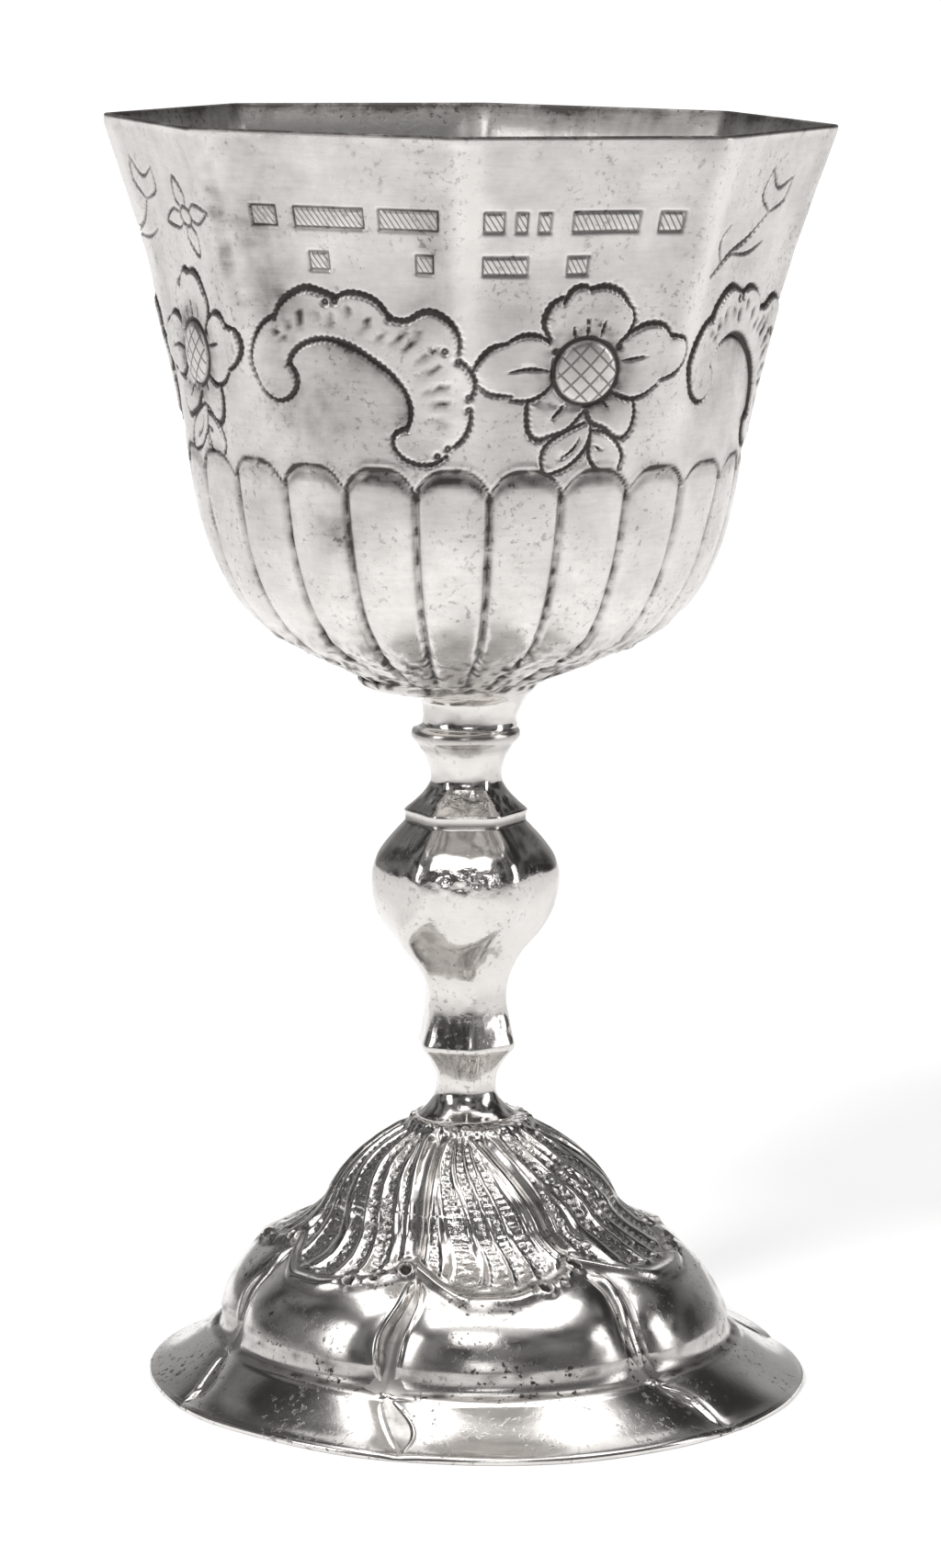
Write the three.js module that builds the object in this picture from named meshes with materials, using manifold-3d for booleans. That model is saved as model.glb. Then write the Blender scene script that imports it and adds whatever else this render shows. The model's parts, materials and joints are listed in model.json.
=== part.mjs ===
// A silver kiddush cup: an eight-sided flaring bowl with gadroons round its lower half, on a cast
// six-sided baluster stem, on a raised six-lobed foot that is hollow underneath.
// Millimetres, +Z up. The origin is on the table, under the middle of the foot.
// A bearing is measured from the front (-Y) towards the right (+X), in radians.
import * as THREE from "three";
import { mergeVertices } from "three/addons/utils/BufferGeometryUtils.js";
import Module from "manifold-3d";

const wasm = await Module();
wasm.setup();

const { cos, sin, atan, abs, PI, max, min, round, floor, ceil, exp } = Math;
const { degToRad, radToDeg, lerp, mapLinear, smoothstep, euclideanModulo } = THREE.MathUtils;

// ---- Driving dimensions ----
const WALL = 0.8; // sheet silver of the bowl and the foot

// Heights above the table where the three pieces meet
const FOOT_TOP = 28.4;
const BOWL_BOTTOM = 74.9;

// The cup is handmade, and its pieces aren't quite in line.
const FOOT_SHIFT = 0.5;
const STEM_SHIFT = -0.5;
const BOWL_SHIFT = -0.9;
const BOWL_LEAN = degToRad(0.8); // to the right

// Bowl. Its heights are measured from its own bottom.
const BOWL_HEIGHT = 61;
const BOTTOM_SHIFT = -0.8; // its bottom is pulled to the left
const SHIFT_HEIGHT = 9; // up to here
const RIM_RADIUS = 38.9; // to a corner
const SIDES = 8;
const BOWL_TURN = degToRad(-2.5); // bearing of the corner nearest the front
const PANELS_FROM = 22; // below this the bowl is round
const PANELS_FULL = 50; // and above this its panels are flat
const GADROONS = 24;
const GADROON_TOP = 27.1;
const GADROON_DEPTH = 0.5;
const ARCH_HEIGHT = 2.4; // how far a gadroon's round top rises over its sides
const BOWL_COLUMNS = GADROONS * 4;
const WALL_SHARE = 3; // the wall above has this many times fewer
const LINING_COLUMNS = 32;

// Chased ornament on the panels, a scroll and a flower by turns
const ORNAMENT_RADIUS = 31; // of the round bowl that the ornament is drawn on
const ORNAMENT_LIFT = 0.6;
const SCROLL_BEARING = degToRad(-21.5);
const FLOWER_BEARING = degToRad(23);
const FLOWER_CENTRE = 37.2;
const FLOWER_EYE = 3.5; // radius of the boss in its middle
const EYE_SIDES = 10;
const ARC_STEPS = 5; // on an arc that is a half circle

// Stem
const STEM_SIDES = 6;
const STEM_COLUMNS = 24;
const STEM_TURN = degToRad(30); // the bulb has a facet in front
const TWIST = degToRad(-22); // between the bulb's facets and those under it
const TWIST_FROM = 53;
const TWIST_TO = 47;
const SWAY = -0.5; // how far the bulb's underside hangs to the left
const SWAY_HEIGHT = 48;
const SWAY_REACH = 3.5;
const DISH_RADIUS = 9.6;
const DISH_SHIFT = -2.2; // of its edge, from the stem's axis
const DISH_EDGE = 76.7;
const DISH_SLOPE = 0.045; // its left side hangs lower
const SOLDER_GAP = 0.2;

// Foot. The lobes are no two alike. Each runs from one crease to the next.
const FOOT_RADIUS = 36.2;
const CREASES = [-64, -13, 48, 107, 167, 230].map(degToRad); // at the foot's edge
// Share of the foot's radius that its edge reaches, at each crease and in the middle of the lobe after it
const REACH = [0.975, 0.96, 0.985, 1.012, 1.01, 1, 0.967, 0.99, 0.98, 1, 0.965, 0.985];
const REACH_FROM = 18; // it fades out from here inwards
const REACH_FULL = 34;
const SWIRL = degToRad(-10); // of the creases, from the foot's edge to its top
const SCALLOP = 0.03; // share of the radius that a lobe draws in at its creases
const CREASE_DEPTH = 0.7;
const SHELL_RIBS = 6; // on the dome, in each lobe
const RIB_HEIGHT = 0.3;
const LOBE_COLUMNS = SHELL_RIBS * 2;
const DOME_SHIFT = -0.5; // of the dome, from the foot's edge
const SHIFT_FROM = 4;
const SHIFT_FULL = 15;
const SOLE_WIDTH = 2; // of the flat ring that the cup stands on

// ---- Outlines ----
// An outline is a list of stretches, from the bottom up. A stretch is one cubic curve between two
// points of [radius, height], with its two handles between them, cut into a number of steps.
function outline(stretches) {
  const rings = [];
  for (const { curve, steps, ...traits } of stretches) {
    const points = curve.map(([radius, height]) => new THREE.Vector2(radius, height));
    new THREE.CubicBezierCurve(...points).getPoints(steps).forEach(({ x, y }, i) => {
      if (i > 0 || !rings.length) rings.push({ radius: x, height: y, ...traits });
    });
  }
  return rings;
}

const everySecond = (rings) => rings.filter((_, i) => i % 2 === 0);

// The same outline, moved inwards square to itself by a distance.
function inset(rings, distance) {
  return rings.map((ring, i) => {
    const before = rings[max(i - 1, 0)];
    const after = rings[min(i + 1, rings.length - 1)];
    const along = new THREE.Vector2(after.radius - before.radius, after.height - before.height);
    along.setLength(distance);
    return { ...ring, radius: ring.radius - along.y, height: ring.height + along.x };
  });
}

// The points of a closed shape made of arcs. An entry is a point, and the bulge of the arc from it to
// the next: the arc's rise over half its chord, positive to the left of the way round. What follows
// in the entry is passed on to every point of its arc.
function arcs(entries) {
  return entries.flatMap(([x, y, bulge, ...rest], i) => {
    const [nextX, nextY] = entries[(i + 1) % entries.length];
    const [alongX, alongY] = [(nextX - x) / 2, (nextY - y) / 2];
    const half = 2 * atan(bulge); // half of the arc's angle
    const steps = ceil(abs(bulge) * ARC_STEPS);
    return Array.from({ length: steps }, (_, step) => {
      const angle = half * ((2 * step) / steps - 1);
      const [along, rise] = [sin(angle) / sin(half), (cos(angle) - cos(half)) / sin(half)];
      return [x + alongX * (1 + along) - alongY * rise, y + alongY * (1 + along) + alongX * rise, ...rest];
    });
  });
}

// ---- Sections ----
// A polygon's radius at a bearing, as a share of its radius at a corner.
function polygon(bearing, sides, turn) {
  const side = (2 * PI) / sides;
  const fromCorner = euclideanModulo(bearing - turn, side);
  return cos(side / 2) / cos(fromCorner - side / 2);
}

const around = (count, turn = 0) => Array.from({ length: count }, (_, i) => turn + (i * 2 * PI) / count);
const onBearing = (radius, bearing, height) => [radius * sin(bearing), -radius * cos(bearing), height];

// ---- Solids ----
// A closed solid from rings of points, with a point in the middle of its bottom and of its top.
function turned(rings, bearings, place) {
  const columns = bearings.length;
  const loops = rings.map((ring) => bearings.map((bearing, column) => place(ring, bearing, column)));
  const middle = (loop) => [0, 1, 2].map((axis) => loop.reduce((sum, p) => sum + p[axis], 0) / columns);
  const positions = [...loops.flat(), middle(loops[0]), middle(loops.at(-1))].flat();
  const bottom = rings.length * columns;
  const last = bottom - columns;
  const faces = [];
  for (let column = 0; column < columns; column++) {
    const next = (column + 1) % columns;
    for (let row = 0; row < last; row += columns) {
      const [a, b] = [row + column, row + next];
      faces.push(a, b, b + columns, a, b + columns, a + columns);
    }
    faces.push(bottom, next, column, bottom + 1, last + column, last + next);
  }
  return solid(positions, faces);
}

// Where points fall together, the faces that they leave without an area go.
function solid(positions, faces) {
  const geometry = new THREE.BufferGeometry();
  geometry.setAttribute("position", new THREE.Float32BufferAttribute(positions, 3));
  geometry.setIndex(faces);
  const merged = mergeVertices(geometry, 1e-4);
  const index = merged.index.array;
  const kept = [];
  for (let i = 0; i < index.length; i += 3) {
    const [a, b, c] = index.subarray(i, i + 3);
    if (a !== b && b !== c && c !== a) kept.push(a, b, c);
  }
  return new wasm.Manifold(new wasm.Mesh({
    numProp: 3,
    vertProperties: new Float32Array(merged.attributes.position.array),
    triVerts: new Uint32Array(kept),
  }));
}

// ---- Bowl ----
const bowlLower = [
  { curve: [[5, 0.2], [8.5, 0.7], [17.2, 4.8], [19.9, 6.4]], steps: 3 },
  { curve: [[19.9, 6.4], [25.4, 10.1], [27.6, 15.9], [28.85, 23.3]], steps: 4 },
];
const bowlUpper = { curve: [[28.85, 23.3], [31.3, 37.1], [33.7, 46], [RIM_RADIUS, BOWL_HEIGHT]], steps: 5 };
const bowlOutline = outline([...bowlLower, bowlUpper]);

const panelShare = (height) => smoothstep(height, PANELS_FROM, PANELS_FULL);

function bowlRadius(radius, height, bearing) {
  return radius * lerp(1, polygon(bearing, SIDES, BOWL_TURN), panelShare(height));
}

function radiusAt(height) {
  const above = bowlOutline.findIndex((ring) => ring.height >= height);
  const [low, high] = [bowlOutline[above - 1], bowlOutline[above]];
  return mapLinear(height, low.height, high.height, low.radius, high.radius);
}

function onShifted(radius, bearing, height) {
  const [x, y] = onBearing(radius, bearing, height);
  return [x + BOTTOM_SHIFT * smoothstep(-height, -SHIFT_HEIGHT, 0), y, height];
}

// From 0 down the middle of a gadroon to 1 at the groove beside it.
function acrossGadroon(bearing) {
  const turns = ((bearing - BOWL_TURN) * GADROONS) / (2 * PI);
  return abs(turns - round(turns)) * 2;
}

// Rings at the gadroons' round tops: the gadroon's own end, the groove over it, and the wall's edge.
const archRing = (below, sunk, rib) => {
  const height = GADROON_TOP - below;
  return { radius: radiusAt(height) - sunk, height, bend: 1, rib };
};
const gadroonRings = [
  ...outline(bowlLower).map((ring) => ({ ...ring, bend: ring.height / GADROON_TOP, rib: 1 })),
  archRing(1.5, 0, 1),
  archRing(0.5, GADROON_DEPTH, 0),
  archRing(0, 0, 0),
];

function onBowl({ radius, height, bend = 0, rib = 0 }, bearing) {
  const across = acrossGadroon(bearing);
  const drop = ARCH_HEIGHT * bend ** 3 * across ** 3;
  const groove = GADROON_DEPTH * rib * smoothstep(height, 0, 4) * across ** 3;
  return onShifted(bowlRadius(radius, height, bearing) - groove, bearing, height - drop);
}

// Above the gadroons the wall needs fewer columns, and those between fall on the one before.
function onWall(ring, bearing, column) {
  const spare = ring.bend ? 0 : column % WALL_SHARE;
  return onBowl(ring, bearing - (spare * 2 * PI) / BOWL_COLUMNS);
}

// A raised shape is its outline, clockwise, and its hub, a loop of points along its middle. Each entry
// of the outline also names the point of the hub that its arc is joined to.
const scroll = {
  outline: [
    [-7.5, 37, 0.7, 0], [-9.2, 33.5, 0.3, 0], [-12.1, 37.4, 0.4, 0], // round the left curl
    [-8.7, 42.1, 0.5, 1], [-1.7, 44.6, 0.34, 2], [4.4, 42.4, 0.85, 3], // lobes over the back
    [10.9, 38.7, 0.38, 4], [11.8, 34.8, 0.3, 4],
    [7.4, 27.5, 0.5, 5], [3.9, 30.2, 0.3, 5], // round the right curl
    [5.8, 31.4, -0.3, 6], [4.5, 36, -0.1, 7], [1.2, 38.3, -0.1, 8], [-3.7, 40, -0.33, 9],
  ],
  hub: [
    [-9.6, 36.9], [-5.8, 42], [1, 41.8], [6.8, 39.4], [8.8, 34], [7.4, 30],
    [8.8, 34], [6.8, 39.4], [1, 41.8], [-5.8, 42],
  ],
};

const flower = {
  outline: [
    [-11.7, 37.4, 0.3, 0], [-5, 41, 0.4, 2], [0, 45.9, 0.4, 3], [4.8, 41.4, 0.3, 4],
    [11.5, 39.1, 0.1, 5], [6.6, 34.3, 0.35, 6], [5.2, 30.2, 0.1, 7], [0.2, 32, 0.1, 8],
    [-4.6, 30.4, 0.35, 9], [-5.8, 34.5, 0.25, 10],
  ],
  hub: around(EYE_SIDES).map((turn) => [-FLOWER_EYE * cos(turn), FLOWER_CENTRE + FLOWER_EYE * sin(turn)]),
};

// A point of the ornament on the bowl, at a distance above its surface.
function onOrnament([across, height], bearing, rise) {
  const turn = bearing + across / ORNAMENT_RADIUS;
  return onBearing(bowlRadius(radiusAt(height), height, turn) + rise, turn, height);
}

// The skin between an outline and its hub, whose points come after the outline's.
function skin(rim, hubSize) {
  return rim.flatMap(([, , hub], i) => {
    const next = (i + 1) % rim.length;
    const nextHub = rim[next][2];
    const faces = [i, rim.length + (hub % hubSize), next];
    for (let at = hub; at % hubSize !== nextHub % hubSize; at++) {
      faces.push(next, rim.length + (at % hubSize), rim.length + ((at + 1) % hubSize));
    }
    return faces;
  });
}

// A solid from inside the wall to a little above it. Inside a round hub its skin closes in a point.
function raised({ outline: entries, hub }, bearing, middle = []) {
  const rim = arcs(entries);
  const points = [...rim, ...hub, ...middle];
  const top = skin(rim, hub.length);
  middle.forEach(() => hub.forEach((_, i) => {
    top.push(points.length - 1, rim.length + ((i + 1) % hub.length), rim.length + i);
  }));
  const sides = rim.flatMap((_, i) => {
    const next = (i + 1) % rim.length;
    return [i, next, next + points.length, i, next + points.length, i + points.length];
  });
  const bottom = top.map((corner) => corner + points.length).reverse();
  const rises = [ORNAMENT_LIFT, -WALL / 2];
  const positions = rises.flatMap((rise) => points.flatMap((point) => onOrnament(point, bearing, rise)));
  return solid(positions, [...top, ...sides, ...bottom]);
}

// The boss in the middle of a flower.
function eye(bearing) {
  const rises = [-WALL / 2, ORNAMENT_LIFT * 2].map((rise) => ({ rise }));
  return turned(rises, around(EYE_SIDES), ({ rise }, turn) => {
    const point = [FLOWER_EYE * cos(turn), FLOWER_CENTRE + FLOWER_EYE * sin(turn)];
    return onOrnament(point, bearing, rise);
  });
}

function ornaments() {
  return around(SIDES / 2).flatMap((turn) => [
    raised(scroll, SCROLL_BEARING + turn),
    raised(flower, FLOWER_BEARING + turn, [[0, FLOWER_CENTRE]]),
    eye(FLOWER_BEARING + turn),
  ]);
}

function bowl() {
  const rings = [...gadroonRings, ...outline([bowlUpper]).filter((ring) => ring.height > GADROON_TOP + 1)];
  const wall = turned(rings, around(BOWL_COLUMNS, BOWL_TURN), onWall);
  const lining = everySecond(inset(bowlOutline, WALL));
  lining.at(-1).height = BOWL_HEIGHT + 1;
  const hollow = turned(lining, around(LINING_COLUMNS, BOWL_TURN), ({ radius, height }, bearing) =>
    onShifted(bowlRadius(radius, height, bearing), bearing, height));
  return ornaments().reduce((made, ornament) => made.add(ornament), wall).subtract(hollow);
}

// ---- Stem ----
// facets is how much of the six-sided form a stretch has, from 0, round, to 1.
const stemOutline = outline([
  { curve: [[5.6, FOOT_TOP + 0.3], [4.5, 29.2], [3.3, 30.4], [3.3, 31.9]], steps: 3, facets: 0.2 },
  { curve: [[3.3, 31.9], [3.3, 33.4], [4.2, 34.6], [5.4, 36]], steps: 2, facets: 0.4 },
  { curve: [[5.4, 36], [5.6, 36.3], [5.7, 36.6], [5.6, 36.9]], steps: 1, facets: 1 },
  { curve: [[5.6, 36.9], [5.3, 37.9], [4.8, 39.8], [4.8, 41.6]], steps: 2, facets: 1 },
  { curve: [[4.8, 41.6], [4.8, 44.2], [6.1, 46], [7.9, 48.1]], steps: 3, facets: 1 },
  { curve: [[7.9, 48.1], [9.4, 49.8], [10.4, 52.2], [10.4, 54.8]], steps: 3, facets: 1 },
  { curve: [[10.4, 54.8], [10.4, 57.4], [8.7, 59], [6.85, 60.8]], steps: 4, facets: 1 },
  { curve: [[6.85, 60.8], [6.5, 61.1], [6.5, 61.6], [6.8, 62.25]], steps: 2, facets: 1 },
  { curve: [[6.8, 62.25], [5.3, 63.4], [3.85, 64.6], [3.85, 66]], steps: 2, facets: 0.7 },
  { curve: [[3.85, 66], [3.85, 67.4], [4.6, 68.8], [5.3, 69.7]], steps: 2, facets: 0.1 },
  { curve: [[5.3, 69.7], [6, 70.1], [6, 71.2], [5.3, 71.6]], steps: 3, facets: 0 },
  { curve: [[5.3, 71.6], [4.7, 72.2], [4.7, 73], [5.2, BOWL_BOTTOM + 0.4]], steps: 2, facets: 0 },
]);

// Turning each ring with its facets keeps a column of points on every corner.
function onStem({ radius, height, facets }, bearing) {
  const turn = STEM_TURN + TWIST * smoothstep(-height, -TWIST_FROM, -TWIST_TO);
  const share = lerp(1, polygon(bearing + turn, STEM_SIDES, turn), facets);
  const [x, y, z] = onBearing(radius * share, bearing + turn, height);
  return [x + SWAY * exp(-(((height - SWAY_HEIGHT) / SWAY_REACH) ** 2)), y, z];
}

// The shallow dish at the stem's top, which the bowl is soldered into. It sits off to the left.
const dishRings = [
  { radius: 4.6, height: 74.2, shift: 0.1 },
  { radius: 6.3, height: 75, shift: 0.4 },
  { radius: 8.5, height: 75.9, shift: 0.9 },
  { radius: DISH_RADIUS, height: DISH_EDGE, shift: 1 },
  { radius: DISH_RADIUS, height: DISH_EDGE + 1.5, shift: 1 },
];

function onDish({ radius, height, shift }, bearing) {
  const [x, y] = onBearing(radius, bearing, 0);
  return [x + DISH_SHIFT * shift, y, height + DISH_SLOPE * x];
}

// The space that the bowl fills, a little larger, which the dish is hollowed by.
function bowlFilled() {
  const round = bowlOutline.filter((ring) => ring.height < PANELS_FULL);
  return turned(round, around(STEM_COLUMNS), ({ radius, height }, bearing) =>
    onShifted(radius + SOLDER_GAP, bearing, height - SOLDER_GAP))
    .rotate([0, radToDeg(BOWL_LEAN), 0])
    .translate([BOWL_SHIFT - STEM_SHIFT, 0, BOWL_BOTTOM]);
}

function stem() {
  const columns = around(STEM_COLUMNS);
  return turned(stemOutline, columns, onStem).add(turned(dishRings, columns, onDish)).subtract(bowlFilled());
}

// ---- Foot ----
// crease is how deep the grooves between the lobes are, and ribs how much of the shells' ribs show.
const footOutline = outline([
  { curve: [[FOOT_RADIUS, 0], [FOOT_RADIUS, 0.2], [FOOT_RADIUS, 0.4], [FOOT_RADIUS, 0.7]], steps: 1 },
  { curve: [[FOOT_RADIUS, 0.7], [34.4, 1], [32, 2.5], [29.4, 4.4]], steps: 3, crease: 0.6 },
  { curve: [[29.4, 4.4], [28.8, 5], [28.1, 6.2], [27.8, 7.7]], steps: 2, crease: 0.8 },
  { curve: [[27.8, 7.7], [27.3, 10.4], [25.5, 13.2], [21.1, 15]], steps: 4, crease: 1.3 },
  { curve: [[21.1, 15], [18.5, 16.4], [16.4, 17.8], [15.6, 19.6]], steps: 3, crease: 0.4, ribs: 1 },
  { curve: [[15.6, 19.6], [14.5, 22.3], [11.6, 25.6], [5.4, FOOT_TOP]], steps: 3, ribs: 0.8 },
]);
const creaseEnd = CREASES[0] + 2 * PI;
const lobeEnd = (lobe) => CREASES[lobe + 1] ?? creaseEnd;

const footBearings = (columns) => CREASES.flatMap((from, lobe) =>
  Array.from({ length: columns }, (_, i) => lerp(from, lobeEnd(lobe), i / columns)));

// Which lobe a bearing is in, and where: from -1 at one crease, by 0 in the middle, to 1 at the next.
function lobeAt(bearing) {
  const lobe = CREASES.findLastIndex((from) => bearing >= from - 1e-6);
  return [lobe, mapLinear(bearing, CREASES[lobe], lobeEnd(lobe), -1, 1)];
}

// How far out the foot's edge reaches at a place in a lobe, by smooth steps from each place in REACH.
function edgeReach(lobe, across) {
  const at = lobe * 2 + across + 1;
  const from = min(floor(at), REACH.length - 1);
  const to = (from + 1) % REACH.length;
  return lerp(REACH[from], REACH[to], smoothstep(at - from, 0, 1));
}

function onFoot({ radius, height, crease = 0, ribs = 0 }, bearing) {
  const [lobe, across] = lobeAt(bearing);
  const scallop = 1 - SCALLOP * crease * across ** 4;
  const reach = lerp(1, edgeReach(lobe, across), smoothstep(radius, REACH_FROM, REACH_FULL));
  const groove = abs(across) > 0.99 ? CREASE_DEPTH * crease : 0;
  const rib = RIB_HEIGHT * ribs * -cos(PI * SHELL_RIBS * across);
  const swirl = SWIRL * (1 - radius / FOOT_RADIUS);
  const [x, y, z] = onBearing(radius * scallop * reach - groove, bearing + swirl, height + rib - groove / 2);
  return [x + DOME_SHIFT * smoothstep(height, SHIFT_FROM, SHIFT_FULL), y, z];
}

function foot() {
  const rings = [...footOutline];
  rings[rings.length - 1] = { ...rings.at(-1), ribs: 0 };
  const outer = turned(rings, footBearings(LOBE_COLUMNS), onFoot);
  const plain = footOutline.map((ring) => ({ ...ring, ribs: 0 }));
  const lining = inset(everySecond(plain).slice(1), WALL);
  const mouth = FOOT_RADIUS - SOLE_WIDTH;
  lining.unshift({ radius: mouth, height: -1 }, { radius: mouth, height: WALL });
  return outer.subtract(turned(lining, footBearings(LOBE_COLUMNS / 3), onFoot));
}

// ---- The cup ----
function silver(color, roughness) {
  return new THREE.MeshStandardMaterial({ color, metalness: 1, roughness });
}

function meshOf(name, made, material) {
  const { numProp, numVert, vertProperties, triVerts } = made.getMesh();
  const positions = new Float32Array(numVert * 3);
  for (let i = 0; i < numVert; i++) {
    positions.set(vertProperties.subarray(i * numProp, i * numProp + 3), i * 3);
  }
  const geometry = new THREE.BufferGeometry();
  geometry.setAttribute("position", new THREE.BufferAttribute(positions, 3));
  geometry.setIndex(new THREE.BufferAttribute(triVerts, 1));
  geometry.computeVertexNormals();
  const mesh = new THREE.Mesh(geometry, material);
  mesh.name = name;
  return mesh;
}

const footMesh = meshOf("foot", foot(), silver(0xb9b6b2, 0.2));
footMesh.position.x = FOOT_SHIFT;

const stemMesh = meshOf("stem", stem(), silver(0xc4c1bd, 0.15));
stemMesh.position.x = STEM_SHIFT;

const bowlMesh = meshOf("bowl", bowl(), silver(0xd0cdca, 0.3));
bowlMesh.position.set(BOWL_SHIFT, 0, BOWL_BOTTOM);
bowlMesh.rotation.y = BOWL_LEAN;

const cup = new THREE.Group();
cup.name = "kiddush_cup";
cup.add(footMesh, stemMesh, bowlMesh);

export default cup;
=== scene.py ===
import json
from math import cos, pi, radians, sin
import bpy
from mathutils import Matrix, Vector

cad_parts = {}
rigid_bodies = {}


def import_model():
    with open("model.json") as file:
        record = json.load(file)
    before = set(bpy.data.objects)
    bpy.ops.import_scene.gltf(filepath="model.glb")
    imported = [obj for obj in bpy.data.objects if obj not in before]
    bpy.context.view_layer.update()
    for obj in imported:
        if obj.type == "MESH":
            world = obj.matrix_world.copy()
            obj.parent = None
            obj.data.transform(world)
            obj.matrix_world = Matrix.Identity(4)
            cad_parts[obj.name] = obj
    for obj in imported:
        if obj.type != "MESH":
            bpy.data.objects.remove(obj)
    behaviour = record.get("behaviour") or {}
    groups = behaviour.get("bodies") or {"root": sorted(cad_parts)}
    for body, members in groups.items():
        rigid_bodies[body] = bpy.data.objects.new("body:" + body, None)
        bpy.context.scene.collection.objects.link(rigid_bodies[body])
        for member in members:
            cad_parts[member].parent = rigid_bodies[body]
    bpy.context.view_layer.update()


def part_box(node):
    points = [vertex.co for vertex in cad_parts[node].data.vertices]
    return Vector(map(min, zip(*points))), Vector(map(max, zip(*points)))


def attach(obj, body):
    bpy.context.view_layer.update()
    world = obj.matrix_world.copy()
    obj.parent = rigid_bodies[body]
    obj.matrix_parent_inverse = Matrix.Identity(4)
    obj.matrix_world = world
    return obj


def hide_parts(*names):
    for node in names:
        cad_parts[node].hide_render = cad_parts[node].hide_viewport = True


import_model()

from types import SimpleNamespace

import bpy
import numpy as np
from mathutils import Vector, noise

# A silver kiddush cup on a white table: a foot, a cast stem and a chased bowl. Each piece starts as a flat
# sheet, one column for each place round the cup and one row for each place along the piece's outline. The
# sheet is wrapped round the cup's axis, and its points are then moved to make the relief.
# Lengths in this script are millimetres, and heights are measured from the table.
# A bearing is measured from the front (-Y) towards the right (+X).

MM = 0.001

FOOT_SHIFT = 0.5  # the three pieces aren't quite in line
STEM_SHIFT = -0.5
BOWL_SHIFT = -0.9
BOWL_LEAN = radians(0.8)

STEM_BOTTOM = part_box("stem")[0][2] / MM
BOWL_BASE = 74.9  # the bowl's own heights count from here


# ---- Numbers along and across a sheet ----

def blend(low, high, share):
    """From low at share 0 to high at share 1."""
    return low + (high - low) * share


def step(value, start, end):
    """From 0 at start to 1 at end, smoothly."""
    share = np.clip((value - start) / (end - start), 0, 1)
    return share * share * (3 - 2 * share)


def bump(distance, reach):
    """1 at no distance, fading out smoothly over about twice the reach."""
    return np.exp(-((distance / reach) ** 2))


def wander(x, y, z, size, seed):
    """Soft random numbers from -1 to 1, whose hills are about the given size."""
    offset = Vector((seed * 17.3, seed * 5.1, seed * 9.7))
    return np.array([noise.noise(Vector(point) / size + offset) for point in zip(x, y, z)])


def follow(outline, station):
    """Each station's radius and height on an outline, and which way is outward there, as two more numbers.

    An outline is a list of stretches: the rows in it, then a cubic curve's four points, [radius, height].
    A station counts rows from the outline's start.
    """
    place, along = np.zeros((2, len(station), 2))
    start = 0
    for rows, *curve in outline:
        here = (station >= start - 1e-6) & (station <= start + rows + 1e-6)
        t = (station[here, None] - start) / rows
        a, b, c, d = np.array(curve, float)
        place[here] = a * (1 - t) ** 3 + 3 * b * t * (1 - t) ** 2 + 3 * c * t * t * (1 - t) + d * t ** 3
        along[here] = (b - a) * (1 - t) ** 2 + 2 * (c - b) * t * (1 - t) + (d - c) * t * t
        start += rows
    along /= np.maximum(np.hypot(*along.T), 1e-9)[:, None]
    return place[:, 0], place[:, 1], along[:, 1], -along[:, 0]


def rows_in(outline):
    return sum(stretch[0] for stretch in outline)


def polygon(bearing, sides, crispness):
    """A regular polygon's radius as a share of its corner's, with a corner at bearing 0."""
    side = 2 * pi / sides
    from_middle = (bearing % side) - side / 2
    others = [np.cos(from_middle + turn) for turn in (-side, 0, side)]
    spread = sum(np.maximum(other, 0) ** crispness for other in others) ** (1 / crispness)
    return cos(side / 2) / spread


# ---- Sheets and pieces ----

def select_only(piece):
    bpy.ops.object.select_all(action="DESELECT")
    piece.select_set(True)
    bpy.context.view_layer.objects.active = piece


def new_sheet(name, columns, rows):
    """A flat sheet from 0 to 1 along X, round the piece, and along Y, up its outline."""
    bpy.ops.object.select_all(action="DESELECT")
    middle = (0.5, 0.5, 0)
    bpy.ops.mesh.primitive_grid_add(x_subdivisions=columns, y_subdivisions=rows, size=1, location=middle)
    bpy.ops.object.transform_apply()
    sheet = bpy.context.object
    sheet.name = name
    return sheet


def sheet_points(sheet):
    """How far each point of the sheet is along X and along Y."""
    points = np.empty(len(sheet.data.vertices) * 3)
    sheet.data.vertices.foreach_get("co", points)
    return points.reshape(-1, 3).T[:2]


def refine(sheet, near):
    """Cuts the sheet twice as fine where near is true."""
    select_only(sheet)
    bpy.ops.object.mode_set(mode="EDIT")
    bpy.ops.mesh.select_mode(type="VERT")
    bpy.ops.mesh.select_all(action="DESELECT")
    bpy.ops.object.mode_set(mode="OBJECT")
    sheet.data.vertices.foreach_set("select", near)
    bpy.ops.object.mode_set(mode="EDIT")
    bpy.ops.mesh.select_more()
    bpy.ops.mesh.subdivide(number_cuts=1)
    bpy.ops.object.mode_set(mode="OBJECT")


def draw_on(sheet, across, height):
    """Makes the piece's UV map hold millimetres across and up, for patterns that follow the surface."""
    corners = np.empty(len(sheet.data.loops), int)
    sheet.data.loops.foreach_get("vertex_index", corners)
    places = np.stack([across[corners], height[corners]], 1)
    sheet.data.uv_layers[0].data.foreach_set("uv", places.ravel())


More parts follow.
